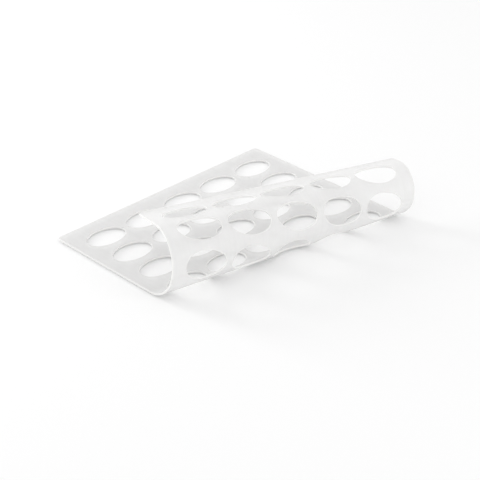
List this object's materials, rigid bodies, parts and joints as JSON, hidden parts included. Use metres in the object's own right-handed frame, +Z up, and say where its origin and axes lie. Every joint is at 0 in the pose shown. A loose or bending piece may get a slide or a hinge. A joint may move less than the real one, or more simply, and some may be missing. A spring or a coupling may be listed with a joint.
{
  "type": "perforated flexible sheet",
  "caption": "Flexible frosted plastic sheet with a regular grid of oval openings, one end curled up and back over the flat end.",
  "frame": {"origin": "on the surface the sheet lies on, under the middle of its box", "axes": "+X along the roll, across the sheet; +Y from the curled end towards the back edge of the flat end; +Z up"},
  "size_m": [0.4766, 0.3502, 0.0932],
  "materials": {
    "sheet": "frosted translucent white soft plastic with a fine matt grain and a soft sheen"
  },
  "bodies": {
    "flat_panel": {"flat_panel": "sheet"},
    "strip_1": {"strip_1_web_1": "sheet", "strip_1_web_2": "sheet", "strip_1_web_3": "sheet", "strip_1_web_4": "sheet"},
    "strip_2": {"strip_2_web_1": "sheet", "strip_2_web_2": "sheet", "strip_2_web_3": "sheet"},
    "strip_3": {"strip_3_web_1": "sheet", "strip_3_web_2": "sheet", "strip_3_web_3": "sheet"},
    "strip_4": {"strip_4_web_1": "sheet", "strip_4_web_2": "sheet", "strip_4_web_3": "sheet", "strip_4_web_4": "sheet"},
    "strip_5": {"strip_5_web_1": "sheet", "strip_5_web_2": "sheet", "strip_5_web_3": "sheet", "strip_5_web_4": "sheet"},
    "strip_6": {"strip_6_web_1": "sheet", "strip_6_web_2": "sheet", "strip_6_web_3": "sheet", "strip_6_web_4": "sheet"},
    "strip_7": {"strip_7_web_1": "sheet", "strip_7_web_2": "sheet", "strip_7_web_3": "sheet", "strip_7_web_4": "sheet"},
    "strip_8": {"strip_8_web_1": "sheet", "strip_8_web_2": "sheet", "strip_8_web_3": "sheet"},
    "strip_9": {"strip_9_web_1": "sheet", "strip_9_web_2": "sheet", "strip_9_web_3": "sheet", "strip_9_web_4": "sheet"},
    "free_flap": {"free_flap": "sheet"}
  },
  "joints": [
    {"name": "crease_1", "type": "hinge", "parent": "flat_panel", "child": "strip_1", "pos_m": [-0.01825, -0.09491, 0.0015], "axis": [0.9778, -0.2097, 0], "range_deg": [-2, 19.5], "stiffness_Nm_per_rad": 1},
    {"name": "crease_2", "type": "hinge", "parent": "strip_1", "child": "strip_2", "pos_m": [-0.01807, -0.10877, 0.00629], "axis": [0.979, -0.2041, -0.002], "range_deg": [-2, 19.5], "stiffness_Nm_per_rad": 1},
    {"name": "crease_3", "type": "hinge", "parent": "strip_2", "child": "strip_3", "pos_m": [-0.01745, -0.11952, 0.0147], "axis": [0.9798, -0.1998, -0.0056], "range_deg": [-2, 19.5], "stiffness_Nm_per_rad": 1},
    {"name": "crease_4", "type": "hinge", "parent": "strip_3", "child": "strip_4", "pos_m": [-0.01618, -0.12666, 0.02568], "axis": [0.9804, -0.1969, -0.0103], "range_deg": [-2, 19.5], "stiffness_Nm_per_rad": 1},
    {"name": "crease_5", "type": "hinge", "parent": "strip_4", "child": "strip_5", "pos_m": [-0.0141, -0.12982, 0.03829], "axis": [0.9805, -0.1958, -0.0156], "range_deg": [-2, 19.5], "stiffness_Nm_per_rad": 1},
    {"name": "crease_6", "type": "hinge", "parent": "strip_5", "child": "strip_6", "pos_m": [-0.01104, -0.12864, 0.05155], "axis": [0.9803, -0.1965, -0.0213], "range_deg": [-2, 19.5], "stiffness_Nm_per_rad": 1},
    {"name": "crease_7", "type": "hinge", "parent": "strip_6", "child": "strip_7", "pos_m": [-0.00687, -0.1228, 0.06434], "axis": [0.9796, -0.1992, -0.0267], "range_deg": [-2, 19.5], "stiffness_Nm_per_rad": 1},
    {"name": "crease_8", "type": "hinge", "parent": "strip_7", "child": "strip_8", "pos_m": [-0.0015, -0.11212, 0.07521], "axis": [0.9785, -0.204, -0.0314], "range_deg": [-2, 19.5], "stiffness_Nm_per_rad": 1},
    {"name": "crease_9", "type": "hinge", "parent": "strip_8", "child": "strip_9", "pos_m": [0.00507, -0.09678, 0.08239], "axis": [0.9769, -0.2108, -0.0345], "range_deg": [-2, 19.5], "stiffness_Nm_per_rad": 1},
    {"name": "crease_10", "type": "hinge", "parent": "strip_9", "child": "free_flap", "pos_m": [0.01267, -0.07762, 0.08387], "axis": [0.975, -0.2193, -0.0352], "range_deg": [-2, 19.5], "stiffness_Nm_per_rad": 1}
  ],
  "couplings": [
    {"joint": "crease_2", "follows": "crease_1", "ratio": 1},
    {"joint": "crease_3", "follows": "crease_1", "ratio": 1},
    {"joint": "crease_4", "follows": "crease_1", "ratio": 1},
    {"joint": "crease_5", "follows": "crease_1", "ratio": 1},
    {"joint": "crease_6", "follows": "crease_1", "ratio": 1},
    {"joint": "crease_7", "follows": "crease_1", "ratio": 1},
    {"joint": "crease_8", "follows": "crease_1", "ratio": 1},
    {"joint": "crease_9", "follows": "crease_1", "ratio": 1},
    {"joint": "crease_10", "follows": "crease_1", "ratio": 1}
  ]
}
